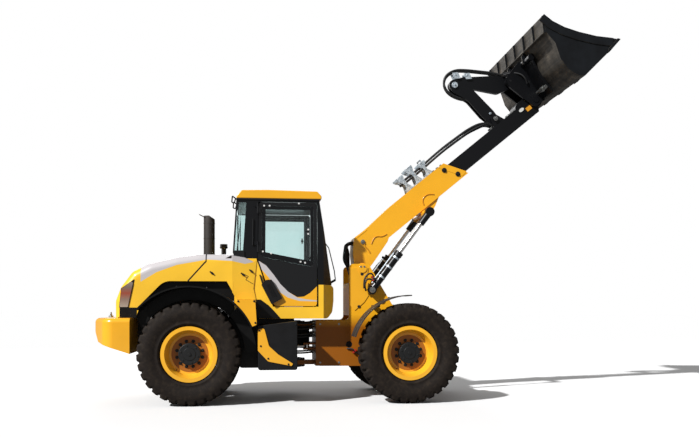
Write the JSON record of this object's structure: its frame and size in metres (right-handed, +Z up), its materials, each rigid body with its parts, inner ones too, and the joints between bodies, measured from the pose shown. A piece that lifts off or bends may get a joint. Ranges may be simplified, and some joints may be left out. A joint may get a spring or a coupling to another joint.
{
  "type": "articulated wheel loader with telescopic boom",
  "caption": "Yellow articulated wheel loader with a raised telescopic boom, a wide bucket, an enclosed cab with two doors and large lugged tyres.",
  "frame": {"origin": "on the ground, in the middle plane, under the middle of the overall length", "axes": "+X forwards, +Y to the left, +Z up"},
  "size_m": [6.91, 2.42, 5.1203],
  "materials": {
    "yellow_paint": "gloss",
    "black_paint": "satin",
    "bucket_steel": "satin",
    "stack_steel": "matte",
    "engine_grey": "matte",
    "lamp_lens": "gloss",
    "cab_glazing": "gloss",
    "seat_vinyl": "satin",
    "moulded_plastic": "matte",
    "fender_sheet": "satin",
    "galvanised": "satin",
    "hose_rubber": "matte",
    "wheel_yellow": "gloss",
    "tyre_rubber": "matte",
    "chrome_rod": "polished"
  },
  "bodies": {
    "rear_body": {"rear_axle": "black_paint", "rear_frame": "black_paint", "counterweight": "yellow_paint", "engine_hood": "yellow_paint", "engine_block": "engine_grey", "tail_lamps": "lamp_lens", "engine_stacks": "stack_steel", "rear_fenders": "black_paint", "fender_panels": "yellow_paint", "side_boxes": "black_paint", "side_panels": "yellow_paint", "cab_tub": "yellow_paint", "cab_frame": "black_paint", "cab_roof": "yellow_paint", "cab_glass": "cab_glazing", "seat": "seat_vinyl", "steering_console": "moulded_plastic"},
    "front_body": {"front_frame": "yellow_paint", "lift_pins": "black_paint", "front_axle": "black_paint", "front_fenders": "fender_sheet"},
    "boom": {"boom_outer": "yellow_paint", "hose_guides": "galvanised"},
    "boom_extension": {"boom_inner": "black_paint", "boom_hoses": "hose_rubber"},
    "rocker": {"rocker": "black_paint"},
    "tilt_link": {"tilt_link": "black_paint"},
    "bucket_body": {"coupler": "black_paint", "bucket": "bucket_steel"},
    "door_left": {"door_left": "yellow_paint", "door_left_glass": "cab_glazing", "door_left_vent": "moulded_plastic"},
    "lift_barrel_left": {"lift_barrel_left": "black_paint"},
    "lift_rod_left": {"lift_rod_left": "chrome_rod"},
    "steer_barrel_left": {"steer_barrel_left": "black_paint"},
    "steer_rod_left": {"steer_rod_left": "chrome_rod"},
    "door_right": {"door_right": "yellow_paint", "door_right_glass": "cab_glazing", "door_right_vent": "moulded_plastic"},
    "lift_barrel_right": {"lift_barrel_right": "black_paint"},
    "lift_rod_right": {"lift_rod_right": "chrome_rod"},
    "steer_barrel_right": {"steer_barrel_right": "black_paint"},
    "steer_rod_right": {"steer_rod_right": "chrome_rod"},
    "wheel_front_left": {"wheel_front_left_rim": "wheel_yellow", "wheel_front_left_tyre": "tyre_rubber"},
    "wheel_front_right": {"wheel_front_right_rim": "wheel_yellow", "wheel_front_right_tyre": "tyre_rubber"},
    "wheel_rear_left": {"wheel_rear_left_rim": "wheel_yellow", "wheel_rear_left_tyre": "tyre_rubber"},
    "wheel_rear_right": {"wheel_rear_right_rim": "wheel_yellow", "wheel_rear_right_tyre": "tyre_rubber"}
  },
  "joints": [
    {"name": "steering", "type": "hinge", "parent": "rear_body", "child": "front_body", "pos_m": [-0.78505, 0, 0.7004], "axis": [0, 0, 1], "range_deg": [-35, 35]},
    {"name": "front_left_wheel_spin", "type": "hinge", "parent": "front_body", "child": "wheel_front_left", "pos_m": [0.63995, 0.897, 0.6604], "axis": [0, 1, 0], "continuous": true},
    {"name": "front_right_wheel_spin", "type": "hinge", "parent": "front_body", "child": "wheel_front_right", "pos_m": [0.63995, -0.897, 0.6604], "axis": [0, 1, 0], "continuous": true},
    {"name": "rear_left_wheel_spin", "type": "hinge", "parent": "rear_body", "child": "wheel_rear_left", "pos_m": [-2.21005, 0.897, 0.6604], "axis": [0, 1, 0], "continuous": true},
    {"name": "rear_right_wheel_spin", "type": "hinge", "parent": "rear_body", "child": "wheel_rear_right", "pos_m": [-2.21005, -0.897, 0.6604], "axis": [0, 1, 0], "continuous": true},
    {"name": "left_door", "type": "hinge", "parent": "rear_body", "child": "door_left", "pos_m": [-1.34405, 0.746, 1.9004], "axis": [0, 0, 1], "range_deg": [0, 80]},
    {"name": "right_door", "type": "hinge", "parent": "rear_body", "child": "door_right", "pos_m": [-1.34405, -0.746, 1.9004], "axis": [0, 0, -1], "range_deg": [0, 80]},
    {"name": "boom_lift", "type": "hinge", "parent": "front_body", "child": "boom", "pos_m": [0.09795, 0, 1.7974], "axis": [0, -1, 0], "range_deg": [-79, 12]},
    {"name": "boom_telescope", "type": "slide", "parent": "boom", "child": "boom_extension", "axis": [0.7749, 0, 0.632], "range_m": [-0.85, 0.1]},
    {"name": "bucket_tilt", "type": "hinge", "parent": "boom_extension", "child": "bucket_body", "pos_m": [2.66715, 0, 4.27991], "axis": [0, 1, 0], "range_deg": [-30, 85]},
    {"name": "rocker_swing", "type": "hinge", "parent": "boom_extension", "child": "rocker", "pos_m": [2.08025, 0, 3.99481], "axis": [0, 1, 0], "range_deg": [-21, 56]},
    {"name": "tilt_link_swing", "type": "hinge", "parent": "rocker", "child": "tilt_link", "pos_m": [1.48379, 0, 4.47616], "axis": [0, 1, 0], "range_deg": [-49, 18]},
    {"name": "lift_barrel_left_swing", "type": "hinge", "parent": "front_body", "child": "lift_barrel_left", "pos_m": [0.21995, 0.455, 1.5004], "axis": [0, -1, 0], "range_deg": [-81, 14]},
    {"name": "lift_rod_left_stroke", "type": "slide", "parent": "lift_barrel_left", "child": "lift_rod_left", "axis": [0.597, 0, 0.8023], "range_m": [-0.429, 0.074]},
    {"name": "lift_barrel_right_swing", "type": "hinge", "parent": "front_body", "child": "lift_barrel_right", "pos_m": [0.21995, -0.455, 1.5004], "axis": [0, -1, 0], "range_deg": [-81, 14]},
    {"name": "lift_rod_right_stroke", "type": "slide", "parent": "lift_barrel_right", "child": "lift_rod_right", "axis": [0.597, 0, 0.8023], "range_m": [-0.429, 0.074]},
    {"name": "steer_barrel_left_swing", "type": "hinge", "parent": "rear_body", "child": "steer_barrel_left", "pos_m": [-1.33005, 0.19, 0.7204], "axis": [0, 0, 1], "range_deg": [-8, 8]},
    {"name": "steer_rod_left_stroke", "type": "slide", "parent": "steer_barrel_left", "child": "steer_rod_left", "axis": [0.9986, 0.0526, 0], "range_m": [-0.143, 0.143]},
    {"name": "steer_barrel_right_swing", "type": "hinge", "parent": "rear_body", "child": "steer_barrel_right", "pos_m": [-1.33005, -0.19, 0.7204], "axis": [0, 0, 1], "range_deg": [-8, 8]},
    {"name": "steer_rod_right_stroke", "type": "slide", "parent": "steer_barrel_right", "child": "steer_rod_right", "axis": [0.9986, -0.0526, 0], "range_m": [-0.143, 0.143]}
  ],
  "couplings": [
    {"joint": "rocker_swing", "follows": "bucket_tilt", "ratio": 0.64},
    {"joint": "tilt_link_swing", "follows": "bucket_tilt", "ratio": -0.56},
    {"joint": "lift_barrel_left_swing", "follows": "boom_lift", "ratio": 1.01},
    {"joint": "lift_rod_left_stroke", "follows": "boom_lift", "m_per_rad": 0.30367},
    {"joint": "lift_barrel_right_swing", "follows": "boom_lift", "ratio": 1.01},
    {"joint": "lift_rod_right_stroke", "follows": "boom_lift", "m_per_rad": 0.30367},
    {"joint": "steer_barrel_left_swing", "follows": "steering", "ratio": 0.2},
    {"joint": "steer_rod_left_stroke", "follows": "steering", "m_per_rad": -0.21772},
    {"joint": "steer_barrel_right_swing", "follows": "steering", "ratio": 0.2},
    {"joint": "steer_rod_right_stroke", "follows": "steering", "m_per_rad": 0.21772}
  ]
}
